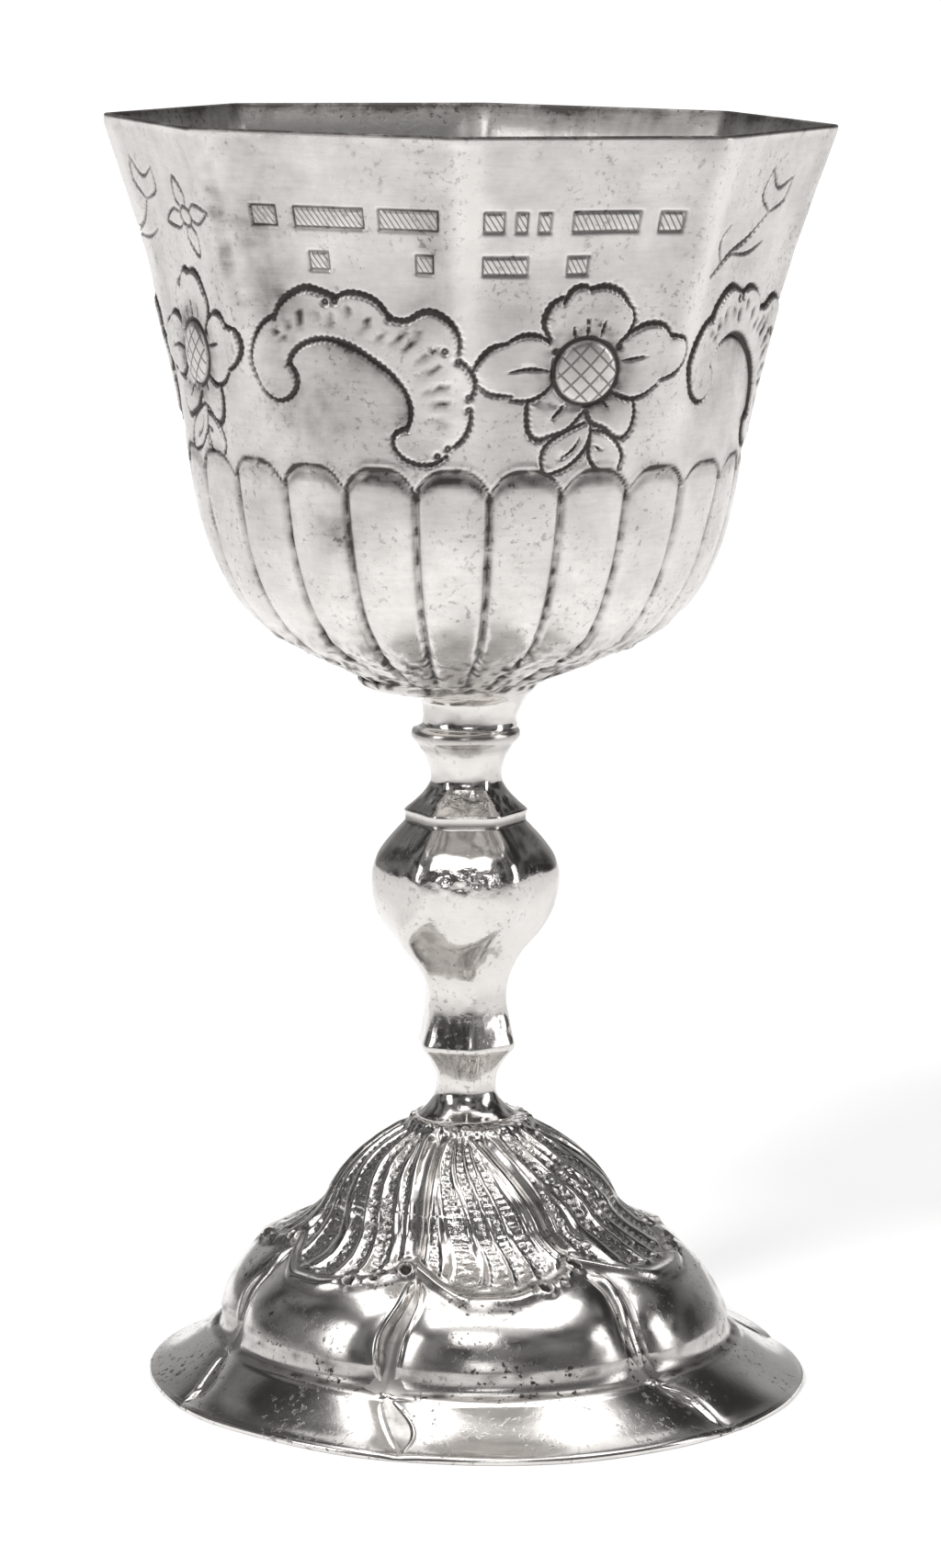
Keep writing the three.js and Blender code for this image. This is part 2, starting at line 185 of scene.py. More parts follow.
def wrap(sheet, x, y, z, **marks):
    """Bends the sheet to its form, closes its seam and its ends, and keeps marks such as tarnish and painted
    shade on it.
    """
    points = np.stack([x, y, z], 1) * MM
    sheet.data.vertices.foreach_set("co", points.ravel())
    for name, values in marks.items():
        sheet.data.attributes.new(name, "FLOAT", "POINT").data.foreach_set("value", values)
    select_only(sheet)
    bpy.ops.object.mode_set(mode="EDIT")
    bpy.ops.mesh.select_all(action="SELECT")
    bpy.ops.mesh.remove_doubles(threshold=0.002 * MM)
    bpy.ops.mesh.normals_make_consistent(inside=False)
    bpy.ops.object.mode_set(mode="OBJECT")
    bpy.ops.object.shade_smooth()
    return sheet


def finish_piece(piece, node, material):
    """Gives the piece its material and its slot, in place of the plain solid that it dresses."""
    piece.data.materials.clear()
    piece.data.materials.append(material)
    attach(piece, "root")
    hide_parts(node)


# ---- Silver ----
HATCH_PITCH = 0.56  # from one slanting line to the next
HATCH_WIDTH = 0.08  # half a line's width
LATTICE_PITCH = 2.1
LATTICE_WIDTH = 0.17
MATTE_AT_MOST = 0.55  # the roughness of fully tarnished silver
GRAIN_DEPTH = 0.025 * MM


def graph(tree):
    """Three ways to add to a node tree: any node, a sum of numbers or sockets, and a ramp of values."""
    nodes, links = tree.nodes, tree.links

    def add(kind, *sources, **settings):
        made = nodes.new("ShaderNode" + kind)
        for name, value in settings.items():
            if hasattr(made, name):
                setattr(made, name, value)
            else:
                made.inputs[name].default_value = value
        for place, source in enumerate(sources):
            links.new(source, made.inputs[place])
        return made

    def sums(operation, *values):
        made = nodes.new("ShaderNodeMath")
        made.operation = operation
        for place, value in enumerate(values):
            if isinstance(value, (int, float)):
                made.inputs[place].default_value = value
            else:
                links.new(value, made.inputs[place])
        return made.outputs[0]

    def ramp(source, start, end, low=0.0, high=1.0, kind="LINEAR"):
        made = nodes.new("ShaderNodeMapRange")
        made.interpolation_type = kind
        for place, value in enumerate((start, end, low, high), 1):
            made.inputs[place].default_value = value
        links.new(source, made.inputs[0])
        return made.outputs[0]

    return add, sums, ramp


def hatch_lines(add, sums):
    """Thin slanting lines where the piece's hatch mark is 0.5, crossed ones where it is 1."""
    mark = add("Attribute", attribute_name="hatch").outputs["Fac"]
    place = add("SeparateXYZ", add("UVMap", uv_map="UVMap").outputs[0])

    def lines(slope, pitch, thick):
        across = sums("MULTIPLY_ADD", place.outputs["Y"], slope, place.outputs["X"])
        return sums("LESS_THAN", sums("PINGPONG", across, pitch / 2), thick)

    crossed = sums("MAXIMUM", *(lines(slope, LATTICE_PITCH, LATTICE_WIDTH) for slope in (1.1, -1.0)))
    crossed = sums("MULTIPLY", crossed, sums("GREATER_THAN", mark, 0.75))
    slanted = sums("MULTIPLY", lines(0.6, HATCH_PITCH, HATCH_WIDTH), sums("COMPARE", mark, 0.5, 0.2))
    return sums("MULTIPLY", sums("MAXIMUM", crossed, slanted), 0.75)


def silver(name, color, roughness, tarnish_color, mottle, pitting):
    """Silver with clouds, fine polishing lines and pits, which follows the piece's own marks.

    Tarnish and painted shade darken it, painted highlights lighten it, matte dulls it, and crumbs make its
    surface coarse.
    """
    material = bpy.data.materials.new(name)
    material.use_nodes = True
    shader = material.node_tree.nodes["Principled BSDF"]
    shader.inputs["Metallic"].default_value = 1
    add, sums, ramp = graph(material.node_tree)
    place = add("TexCoord").outputs["Object"]
    # the tarnish mark also holds painted shade, and painted highlights where it falls below nothing
    tarnish = add("Attribute", attribute_name="tarnish").outputs["Fac"]
    matte = add("Attribute", attribute_name="matte").outputs["Fac"]
    crumbs = add("Attribute", attribute_name="crumbs").outputs["Fac"]

    clouds = ramp(add("TexNoise", place, Scale=150.0, Detail=8.0, Roughness=0.7).outputs["Fac"], 0.38, 0.75)
    stretched = add("VectorMath", place, operation="MULTIPLY")
    stretched.inputs[1].default_value = (1, 1, 9)
    lines = add("TexNoise", stretched.outputs[0], Scale=260.0, Detail=5.0, Roughness=0.7).outputs["Fac"]
    lines = ramp(lines, 0.45, 0.8)

    # Pits are in patches.
    specks = add("TexNoise", place, Scale=1500.0, Detail=3.0, Roughness=0.6).outputs["Fac"]
    pits = ramp(specks, 0.57, 0.66)
    patches = ramp(add("TexNoise", place, Scale=140.0, Detail=4.0).outputs["Fac"], 0.42, 0.58)
    pits = sums("MULTIPLY", pits, patches)

    # Dull places are more mottled.
    uneven = sums("MULTIPLY_ADD", lines, 0.4, clouds)
    uneven = sums("MULTIPLY", uneven, sums("MULTIPLY_ADD", tarnish, 1.5, 1))
    dark = sums("MULTIPLY_ADD", uneven, mottle, tarnish)
    dark = sums("MULTIPLY_ADD", pits, pitting, dark)
    dark = sums("MINIMUM", sums("MAXIMUM", dark, hatch_lines(add, sums)), 1)
    tint = add("Mix", data_type="RGBA")
    tint.inputs["A"].default_value = (*color, 1)
    tint.inputs["B"].default_value = (*tarnish_color, 1)
    links = material.node_tree.links
    links.new(dark, tint.inputs["Factor"])
    links.new(tint.outputs["Result"], shader.inputs["Base Color"])
    links.new(sums("MAXIMUM", ramp(dark, 0, 1, roughness, MATTE_AT_MOST), matte), shader.inputs["Roughness"])

    grain = add("TexNoise", place, Scale=1900.0, Detail=2.0).outputs["Fac"]
    surface = sums("MULTIPLY_ADD", lines, 0.15, sums("SUBTRACT", clouds, pits))
    surface = sums("MULTIPLY_ADD", grain, sums("MULTIPLY_ADD", crumbs, 16, 0.4), surface)
    relief = add("Bump", Strength=0.35)
    relief.inputs["Distance"].default_value = GRAIN_DEPTH
    links.new(surface, relief.inputs["Height"])
    links.new(relief.outputs["Normal"], shader.inputs["Normal"])
    return material


# ---- Foot ----
LOBES = 6
LOBE_COLUMNS = 40
FOOT_RADIUS = 36.2
DRUM_FOOT = 5.15  # the height where the drum stands on the brim
SHOULDER = 12.5  # the height where the drum turns into the dome
SOLDER_RADIUS = 6.1
CREASES = np.radians([-64, -13, 48, 107, 167, 230])  # between the six lobes, at the foot's edge
SWIRLS = np.radians([-55, -23, -60, -45, -50, -45])  # how far each would turn on its way to the axis
SWIRL_POWER = 2.2
# How far the edge reaches, as a share, at each crease and each lobe's middle
REACH = np.array([0.975, 0.96, 0.985, 1.012, 1.01, 1, 0.967, 0.99, 0.98, 1, 0.965, 0.985])
BRIM_SWIRL = radians(-6)
DOUBLE = np.array([0.5, 1, 0, 0.7, 1, 0.2])  # 1: a crease is a pair of folds with a dark gap, 0: one rib
UNWORN_AND_SHADED = np.array([0.6, 0.1, 0.6, 1, 0.7, 0.9])  # 1: a lobe's shell is crisp and dark, 0: worn and bright; the front lobe's low value is partly painted light
SHELL_BANDS = 6  # bands of punched bars in each shell
BAR_PITCH = 0.78
DOME_SHIFT = -0.5

foot_outline = [
    # the lining, from the top down
    (3, [0, 27.4], [4, 27.4], [9, 26], [12, 23.4]),
    (3, [12, 23.4], [15, 20], [14.5, 17], [20.6, 14.2]),
    (4, [20.6, 14.2], [24, 12.7], [26.4, 10], [27, 7.3]),
    (4, [27, 7.3], [27.6, 4.5], [31, 3.2], [34.2, 0.9]),
    (1, [34.2, 0.9], [34.2, 0.6], [34.2, 0.3], [34.2, 0]),
    (1, [34.2, 0], [35, 0], [35.5, 0], [36, 0]),
    # the edge
    (3, [36, 0], [36.3, 0], [36.3, 0.65], [36, 0.75]),
    # the brim, the bead over it and the drum
    (24, [36, 0.75], [34.2, 1.2], [32, 2.9], [29.6, 4.5]),
    (6, [29.6, 4.5], [29.3, 4.9], [28.9, 5], [28.6, 5.1]),
    (7, [28.6, 5.1], [28, 5.3], [27.9, 6.4], [28, 7.4]),
    (24, [28, 7.4], [27.3, 10], [25.5, 13.2], [21.1, 15]),
    # the dome with its shells
    (17, [21.1, 15], [18.5, 16.4], [16.4, 17.8], [15.6, 19.6]),
    (36, [15.6, 19.6], [14.5, 22.3], [11.6, 25.6], [5.4, 28.2]),
    (3, [5.4, 28.2], [4, 28.4], [2, 28.4], [0, 28.4]),
]
LINING_ROWS = rows_in(foot_outline[:6])

# Ringed beads on each shell's lower edge: how far across the lobe from -1 to 1, and the radius
beads = [(0.3, 0.8), (0.56, 0.5), (0.88, 0.75)]


def crease_bearing(lobe, radius):
    """The bearing of the crease that a lobe starts at, which swirls on its way in to the axis."""
    turns, lobe = lobe // LOBES, lobe % LOBES
    inward = (1 - np.clip(radius / FOOT_RADIUS, 0, 1)) ** SWIRL_POWER
    return CREASES[lobe] + turns * 2 * pi + SWIRLS[lobe] * inward + BRIM_SWIRL * bump(radius - 28.3, 3.4)


def shell_edge(across):
    """The radius of a shell's lower edge, which hangs lowest left of its middle and steps up on the right."""
    falling = step(across, -1.1, -0.4)
    rising = 0.3 * step(across, -0.1, 0.4) + 0.7 * step(across, 0.35, 1.1)
    return 19 + 4.3 * falling * (1 - rising)


def creases(side, height, radius, double):
    """The folds beside a crease: rise, depth and tarnish. Side is millimetres to the right of its middle."""
    on_drum = step(height, 4.6, 7) * (1 - step(height, 14.2, 15.6))
    on_brim = step(height, 0.6, 1.6) * (1 - step(height, 3.6, 4.6))
    # on the drum two folds that part below the top and meet again at its foot, or one rib
    apart = 0.35 + 0.95 * np.sin(pi * np.clip((height - 5) / 10.5, 0, 1)) ** 0.8
    folds = 0.55 * bump(side + apart, 0.34) + 0.4 * bump(side - apart, 0.36)
    folds = folds + 0.16 * bump(side + 0.2 * apart, 0.2)
    gap = bump(side - 0.25 * apart, 0.55 * apart) * 0.55
    rib = 0.75 * bump(side, 0.6)
    beside_rib = bump(side + 1.05, 0.34) * 0.35 + bump(side - 1.0, 0.3) * 0.3
    rise = on_drum * blend(rib, folds, double)
    depth = on_drum * blend(beside_rib, gap, double)
    tarnish = on_drum * blend(beside_rib * 1.8, gap * 1.2, double)
    # on the brim a leaf-shaped hollow with a raised border, or a thin ridge that winds outward
    leaf = 1.15 * np.sin(pi * np.clip((radius - 29.3) / 6, 0, 1)) + 0.01
    hollow = bump(side, leaf)
    border = bump(abs(side) - leaf - 0.3, 0.24)
    winding = side - 0.5 * np.sin(2 * pi * (radius - 29) / 8)
    beside_ridge = bump(winding - 0.7, 0.3)
    rise = rise + on_brim * blend(0.42 * bump(winding, 0.36), 0.2 * border, double)
    depth = depth + on_brim * blend(0.14 * beside_ridge, 0.5 * hollow, double)
    tarnish = tarnish + on_brim * blend(0.6 * beside_ridge, 0.5 * hollow, double)
    # a knot where the two meet
    knot = bump(np.hypot(side, (height - 4.9) * 1.6), 0.7)
    return rise + 0.35 * knot, depth, np.clip(tarnish, 0, 1)


def on_foot(sheet):
    """Where the sheet's points lie on the foot and on its lobes. Across goes from -1 to 1 on each lobe."""
    u, v = sheet_points(sheet)
    station = v * rows_in(foot_outline)
    radius, height, out, up = follow(foot_outline, station)
    # Columns crowd together at the creases, where the relief is finest.
    share = u * LOBES
    lobe = np.minimum(share.astype(int), LOBES - 1)
    share = share - lobe
    share = share - 0.55 * np.sin(2 * pi * share) / (2 * pi)
    start, end = crease_bearing(lobe, radius), crease_bearing(lobe + 1, radius)
    across = 2 * share - 1
    half_width = (end - start) / 2 * radius
    return SimpleNamespace(
        radius=radius, height=height, out=out, up=up, outside=station > LINING_ROWS,
        lobe=lobe, share=share, across=across, bearing=blend(start, end, share),
        half_width=half_width, from_crease=(1 - abs(across)) * half_width)


def lobed(at):
    """How far the foot reaches, as a share, and the valleys where its creases draw it in."""
    place = at.lobe * 2 + at.across + 1
    first = np.minimum(place.astype(int), 2 * LOBES - 1)
    reach = blend(REACH[first], REACH[(first + 1) % (2 * LOBES)], step(place - first, 0, 1))
    reach = blend(1, reach, step(at.radius, 18, 34))
    heights, strengths = [0, 0.8, 3, 5, 7, 9, 13, 15, 17.5], [0, 0.5, 0.6, 0.7, 1.2, 1.3, 1.3, 0.6, 0]
    crease = np.interp(at.height, heights, strengths)
    lean = 1 - 0.032 * crease * at.across ** 4
    return lean * reach, -0.5 * crease * np.exp(-at.from_crease / 1.5)


def shells(at, x, y):
    """The shells on the dome: smooth ridges, with ladders of punched bars between them.

    Rough is where the bars and crumbs are, and crisp is how little they have worn.
    """
    uneven, crumbs = wander(x, y, at.height, 1.6, 1), wander(x, y, at.height, 0.5, 7)
    inside = shell_edge(at.across) - at.radius
    scroll = (0.5 * bump(inside, 0.7) + 0.12 * bump(inside - 1.6, 0.35)) * (at.height > SHOULDER)
    shell = step(inside, 0.9, 1.9) * step(at.radius, 6.5, 8)
    crisp = 0.6 + 0.4 * UNWORN_AND_SHADED[at.lobe]

    # bands that bend on their way down
    bend = 0.35 * np.sin(2 * pi * (at.radius - 8) / 13)
    bowed = at.share + 0.045 * np.sin(3 * pi * at.share + at.lobe) * np.sin(pi * at.share)
    band = bowed * SHELL_BANDS + bend * np.sin(pi * at.share)
    beside = abs(band - np.round(band)) * 2

    # smooth ribs between the bands, and borders along the creases
    far_away = 9
    from_right = np.where(at.across > 0, at.from_crease, far_away)
    from_left = np.where(at.across < 0, at.from_crease, far_away)
    border = np.maximum(0.4 * bump(from_right - 1.4, 0.7), 0.3 * bump(from_left - 1.0, 0.4))
    inner = step(from_right, 1.9, 2.3) * step(from_left, 1.2, 1.6)
    rib = 0.24 * (1 - step(beside, 0.2, 0.52)) * inner + border - 0.1
    rough = step(beside, 0.42, 0.6) * inner

    # punched bars, one above another up the dome, unevenly spaced and fainter in places
    number = np.floor(band)
    phase = number * 2.4 + 2.2 * uneven + 2 * (band - number) * np.sin(3.1 * number)
    climb = 0.64 * at.height - 0.77 * at.radius
    bars = 0.5 + 0.5 * np.sin(2 * pi * climb / BAR_PITCH + phase)
    struck = 0.55 + 0.45 * step(wander(x, y, at.height, 2, 13), -0.35, 0.25)
    punch = bars ** 2 * rough * struck * (0.85 + 0.6 * crumbs)
    seam = bump(at.from_crease, 0.45) * shell
    relief = rib + crisp * (0.24 * crumbs * rough - 0.2 * punch)
    return SimpleNamespace(
        on=shell, shape=scroll + shell * relief - 0.4 * seam, inside=inside, seam=seam,
        punch=punch, rough=rough, crisp=crisp, uneven=uneven, crumbs=crumbs)


def ringed_beads(at, shape):
    """The shape with its ringed beads, and how dark their middles and the lines round them are."""
    dark = np.zeros(len(shape))
    for bead_across, size in beads:
        apart = np.hypot((at.across - bead_across) * at.half_width, at.radius - shell_edge(bead_across))
        shape = np.where(apart < 1.7 * size, shape * 0.4, shape) + 0.5 * bump(apart - 1.05 * size, 0.3 * size)
        dark = np.maximum(dark, 1 - step(apart, 0.65 * size, 0.95 * size))
        dark = np.maximum(dark, 0.6 * bump(apart - 1.55 * size, 0.2))
    return shape, dark


def foot_tarnish(at, shell, x, y, z):
    """Tarnish in the shells' punched bands, left pale on the front lobe as painted light, seams and edge
    lines, round the drum's foot and in stains.
    """
    deep = step(wander(x, y, z, 2.5, 3), -0.4, 0.5)
    # painted light: the bands are tarnished least on the front lobe, so that it looks lit
    bands = shell.on * UNWORN_AND_SHADED[at.lobe] * (shell.punch * (0.35 + 0.45 * deep) + 0.15 * shell.rough)
    edge_lines = bump(shell.inside - 0.95, 0.3) * 0.7 + bump(shell.inside + 1, 0.35) * 0.65
    edge_lines = edge_lines * (at.height > SHOULDER) * (0.5 + 0.5 * deep)
    joint = bump(at.height - DRUM_FOOT, 0.28) * 0.75 * (0.4 + 0.6 * deep) + 0.3 * bump(at.height - 7, 1.5)
    on_drum = step(at.height, 5.5, 7) * (1 - step(at.height, 10, 13))
    darkened = on_drum * step(wander(x, y, z * 1.5, 1.8, 10), 0, 0.6)
    return bands + 0.3 * shell.seam + edge_lines + joint + 0.3 * darkened


def foot_piece(material):
    sheet = new_sheet("foot_silver", LOBE_COLUMNS * LOBES, rows_in(foot_outline))
    at = on_foot(sheet)
    on_dome = (at.height > 13.6) & (at.radius > 6.5)
    refine(sheet, at.outside & (on_dome | (at.from_crease < 2.2)) & (at.height > 0.7))
    at = on_foot(sheet)
    side = np.where(at.across < 0, at.from_crease, -at.from_crease)
    double = np.where(at.across < 0, DOUBLE[at.lobe], DOUBLE[(at.lobe + 1) % LOBES])
    rise, depth, folded = creases(side, at.height, at.radius, double)
    reach, valley = lobed(at)
    x, y = at.radius * np.sin(at.bearing), -at.radius * np.cos(at.bearing)
    shell = shells(at, x, y)
    shape, beads_dark = ringed_beads(at, shell.shape + rise - depth)
    lumps = 0.5 + 0.35 * shell.uneven + 0.25 * shell.crumbs
    solder = bump(at.radius - SOLDER_RADIUS, 0.8) * (at.height > 20) * lumps
    dents = shell.uneven * 0.05 * shell.on + wander(x, y, at.height, 7, 2) * 0.14 * (at.radius > 15)

    push = np.where(at.outside, valley + shape + solder + dents, valley)
    far = at.radius * reach + at.out * push
    x = far * np.sin(at.bearing) + DOME_SHIFT * step(at.height, 4, 15) + FOOT_SHIFT
    y = -far * np.cos(at.bearing)
    z = at.height + at.up * push * (at.height > 0.01)

    tarnish = foot_tarnish(at, shell, x, y, z) + folded
    tarnish = np.where(at.outside, np.clip(np.maximum(tarnish, 0.9 * beads_dark), 0, 1), 0.35)
    crumbly = shell.on * shell.rough * shell.crisp * at.outside
    piece = wrap(sheet, x, y, z, tarnish=tarnish, matte=0.13 * crumbly, crumbs=crumbly)
    finish_piece(piece, "foot", material)


# ---- Stem ----
STEM_SIDES = 6
STEM_COLUMNS = 120
STEM_TURN = radians(30)  # the bearing of a corner of the bulb
TWIST = radians(-22)  # how much further the corners below the bulb are turned
DISH_SHIFT = -2.2
DISH_SLOPE = 0.045

stem_outline = [
    (3, [0, STEM_BOTTOM], [2, STEM_BOTTOM], [4, STEM_BOTTOM], [5.5, STEM_BOTTOM]),
    (10, [5.5, STEM_BOTTOM], [4.5, 29.2], [3.3, 30.4], [3.3, 31.9]),
    (12, [3.3, 31.9], [3.3, 33.4], [4.2, 34.6], [5.4, 36]),
    (6, [5.4, 36], [5.6, 36.3], [5.7, 36.6], [5.6, 36.9]),
    (12, [5.6, 36.9], [5.3, 37.9], [4.8, 39.8], [4.8, 41.6]),
    (18, [4.8, 41.6], [4.8, 44.2], [6.1, 46], [7.9, 48.1]),
    (18, [7.9, 48.1], [9.4, 49.8], [10.4, 52.2], [10.4, 54.8]),
    (18, [10.4, 54.8], [10.4, 57.4], [8.7, 59], [6.85, 60.8]),
    (8, [6.85, 60.8], [6.5, 61.1], [6.5, 61.6], [6.8, 62.25]),
    (12, [6.8, 62.25], [5.3, 63.4], [3.85, 64.6], [3.85, 66]),
    (10, [3.85, 66], [3.85, 67.4], [4.6, 68.8], [5.3, 69.7]),
    (10, [5.3, 69.7], [6, 70.1], [6, 71], [5.3, 71.3]),
    (10, [5.3, 71.3], [4.9, 71.5], [4.9, 73], [5.2, 74.2]),
    (14, [5.2, 74.2], [6.2, 75.2], [8.2, 75.4], [9.6, 76.6]),
    (6, [9.6, 76.6], [9.9, 76.9], [9.9, 77.3], [9.5, 77.2]),
    (8, [9.5, 77.2], [8.4, 75.8], [6.5, 74.9], [4.8, 74.7]),
    (3, [4.8, 74.7], [3, 74.6], [1, 74.6], [0, 74.6]),
]


def on_stem(sheet):
    """Where the sheet's points lie on the stem, and where its front is battered."""
    u, v = sheet_points(sheet)
    radius, height, out, up = follow(stem_outline, v * rows_in(stem_outline))
    corner = u * 2 * pi
    turn = STEM_TURN + TWIST * (1 - step(height, 47, 53))
    bearing = corner + turn
    x, y = radius * np.sin(bearing), -radius * np.cos(bearing)
    battered = (bump(height - 55.9, 1.1) + bump(height - 63.6, 0.9)) * bump(x, 4.5) * (y < 0)
    return SimpleNamespace(radius=radius, height=height, out=out, up=up, corner=corner, bearing=bearing,
                           x=x, y=y, battered=battered)


def stem_piece(material):
    sheet = new_sheet("stem_silver", STEM_COLUMNS, rows_in(stem_outline))
    refine(sheet, on_stem(sheet).battered > 0.1)
    at = on_stem(sheet)
    x, y, height = at.x, at.y, at.height

    # facets, round at both ends
    facets = np.interp(height, [28.7, 31, 34.5, 36, 62.4, 65, 67, 69], [0, 0.25, 0.6, 1, 1, 0.7, 0.2, 0])
    share = blend(1, 1.035 * polygon(at.corner, STEM_SIDES, 12), facets)

    # dents, lumps of solder at both joints, and the battered places
    push = 0.16 * wander(x, y, height, 5, 4) + 0.04 * wander(x, y, height, 1.2, 5)
    push = push + 0.25 * wander(x, y, height, 1.6, 14) * (bump(height - 29, 1.2) + bump(height - 75.8, 1.2))
    push = push + 0.2 * wander(x, y, height, 0.9, 16) * at.battered

    # The neck flares to the right only, and the dish above it sits to the left and tilts.
    far = at.radius * share + at.out * push * (at.radius > 3)
    on_dish = step(height, 74, 76.6)
    right = np.sin(at.bearing)
    neck = 0.4 * step(height, 71.1, 71.5) + step(height, 71.8, 75) * np.maximum(right, 0)
    x = far * right - 0.5 * bump(height - 48, 3.5) + neck + DISH_SHIFT * on_dish
    y = -far * np.cos(at.bearing)
    z = height + at.up * push * 0.5 + DISH_SLOPE * far * right * on_dish

    rough_dish = 0.15 + 0.7 * step(wander(x, y, height, 1.1, 17), 0, 0.4)
    tarnish = 0.3 * bump(height - 70.5, 0.5) + 0.5 * bump(height - 61.4, 0.35)
    tarnish = tarnish + 0.3 * bump(height - 69.2, 0.5) + step(height, 75, 76) * rough_dish
    tarnish = np.clip(tarnish, 0, 1)
    marks = {"tarnish": tarnish, "matte": 0.1 * at.battered, "crumbs": 0.7 * at.battered}
    finish_piece(wrap(sheet, x + STEM_SHIFT, y, z, **marks), "stem", material)


# ---- Chasing ----
# The ornament is drawn with strokes of a chasing tool. A stroke is half its width at its middle, how much
# thinner its ends are, and the points it passes through: [millimetres across, height up the bowl].
ORNAMENT_RADIUS = 31  # the bowl's radius where the ornament is drawn true
ORNAMENT_HALF_WIDTH = 14
ORNAMENT_HEIGHTS = (25, 47)
SCROLL_BEARING = radians(-21.5)
FLOWER_BEARING = radians(23)
BEAT = 0.62  # from one blow of the tool to the next

scroll_edge = [
    (0.3, 0.3, [-7.6, 37.2], [-7, 36.2], [-7.1, 34.9], [-8.1, 33.8], [-9.5, 33.5], [-10.9, 34.4],
     [-11.7, 36]),
    (0.36, 0.2, [-11.7, 36], [-12.1, 37.6], [-11.6, 39.6], [-10.4, 41.3], [-8.8, 42.3]),
    (0.42, 0.2, [-8.9, 42], [-8.3, 43.3], [-6.9, 44.5], [-5.2, 45.2], [-3.7, 44.9], [-2.2, 44.4]),
    (0.34, 0.3, [-2.3, 44.1], [-0.8, 44.8], [1, 44.7], [2.6, 44], [3.9, 42.5]),
    (0.36, 0.2, [3.9, 42.4], [5.6, 42.3], [7.3, 43.2], [8.7, 43.2], [10.2, 42.1], [10.9, 40.5],
     [10.8, 39]),
    (0.4, 0.3, [11, 38.4], [12, 37.3], [12.5, 36], [12.1, 34.6]),
    (0.36, 0.3, [12.1, 33.3], [12, 31.9], [11.4, 30.6], [10.4, 29.6]),
    (0.4, 0.3, [9.6, 28.6], [8.2, 27.8], [6.6, 27.7], [5, 28.3], [4, 29.4], [4.1, 30.6], [5.4, 31.3]),
    (0.5, 0.5, [5.5, 31.1], [6, 33], [5.4, 35], [4, 36.7], [1.9, 38.2], [-0.8, 39.6], [-3.6, 40.1],
     [-5.9, 39.5], [-7.3, 38.4], [-7.9, 37.2]),
]
scroll_rings = [(10.8, 38.4), (11.9, 34.7), (11.9, 33.4), (9.8, 29.4), (8.7, 28.6), (-2.1, 44),
                (-3.1, 43.9), (3.8, 42.5), (9.5, 39.4)]

# The first strokes go once round the petals, and the rest are the leaves below.
PETAL_STROKES = 13
flower_edge = [
    (0.4, 0.3, [-4, 40.6], [-4.7, 42.2], [-4.1, 43.9], [-2.8, 44.8]),
    (0.34, 0.3, [-2.7, 44.2], [-1.9, 45.5], [-0.7, 45.9], [0.1, 45.5]),
    (0.4, 0.3, [0.2, 45.6], [1.7, 45.8], [3.3, 45.2], [4.6, 43.6]),
    (0.34, 0.3, [4.8, 43.5], [5.1, 42.3], [4.6, 41], [3.8, 40.2]),
    (0.36, 0.3, [4.9, 41.1], [6.5, 41.9], [8.2, 41.8], [9.3, 40.6]),
    (0.3, 0.3, [9.6, 40.7], [10.9, 40.3], [11.4, 39.1], [11.1, 37.8], [10, 36.7], [8.5, 36.1]),
    (0.3, 0.3, [8.3, 35.7], [7, 34.7], [5.3, 34.3], [3.7, 34.8], [2.8, 35.6]),
    (0.4, 0.3, [5.8, 34.2], [6.1, 32.8], [5.8, 31.2], [4.9, 30.3], [3.8, 30.5], [2.5, 31.4], [1, 32],
     [0.4, 33.1]),
    (0.4, 0.3, [-6.1, 34.2], [-6.1, 32.6], [-5.8, 31], [-4.8, 30.3], [-3.4, 30.6], [-1.5, 31.3],
     [0.2, 33.1]),
    (0.32, 0.4, [-4, 40.2], [-5.1, 40.9], [-6.8, 41], [-8.2, 40.4]),
    (0.34, 0.4, [-8.4, 40.2], [-10, 39.7], [-11.2, 38.5], [-11.9, 37.2]),
    (0.32, 0.5, [-11.3, 35.9], [-10, 35], [-7.8, 34.8]),
    (0.32, 0.4, [-7.9, 34.4], [-6, 34.3], [-4.4, 35], [-3.4, 36]),
    (0.34, 0.3, [0.4, 31.9], [-2.2, 30.8], [-3.9, 29.5], [-4.3, 28.1], [-4, 26.8]),
    (0.3, 0.3, [1.1, 31.8], [1.1, 30.4], [0.4, 28.9], [-1.3, 27.4], [-3.4, 26.7]),
    (0.32, 0.3, [1.4, 31.1], [2.8, 30.9], [4.4, 29.8], [5.2, 28.4], [4.8, 27]),
    (0.3, 0.3, [1.2, 30.2], [1.1, 28.6], [1.9, 27.3], [3, 26.8]),
]
flower_veins = [
    (0.2, 0.9, [-3.6, 37.3], [-6, 37.6], [-8.6, 37.2]), (0.2, 0.9, [-1.3, 40.6], [-1.5, 42]),
    (0.24, 0.9, [0.1, 40.7], [0.1, 42.8]), (0.22, 0.9, [1.6, 40.7], [2, 42.6]),
    (0.18, 0.9, [3.8, 38.2], [5.2, 38.4], [7.4, 38.8]), (0.24, 0.9, [-1.9, 34], [-2.7, 33.1], [-3.6, 32.2]),
    (0.2, 0.9, [1.9, 34.6], [2.8, 33.5]), (0.2, 0.9, [0.1, 30.6], [-0.8, 29.2], [-2.4, 28]),
    (0.16, 0.9, [1.6, 29.6], [2.6, 29]),
]
flower_rings = [(-3.3, 39.2), (3.7, 39.7), (2.8, 35.4), (0.2, 33.9)]
EYE = (0.1, 37.2)
EYE_RADIUS = 3.35
EYE_HEIGHT_SHARE = 0.94  # the eye is a little wider than tall

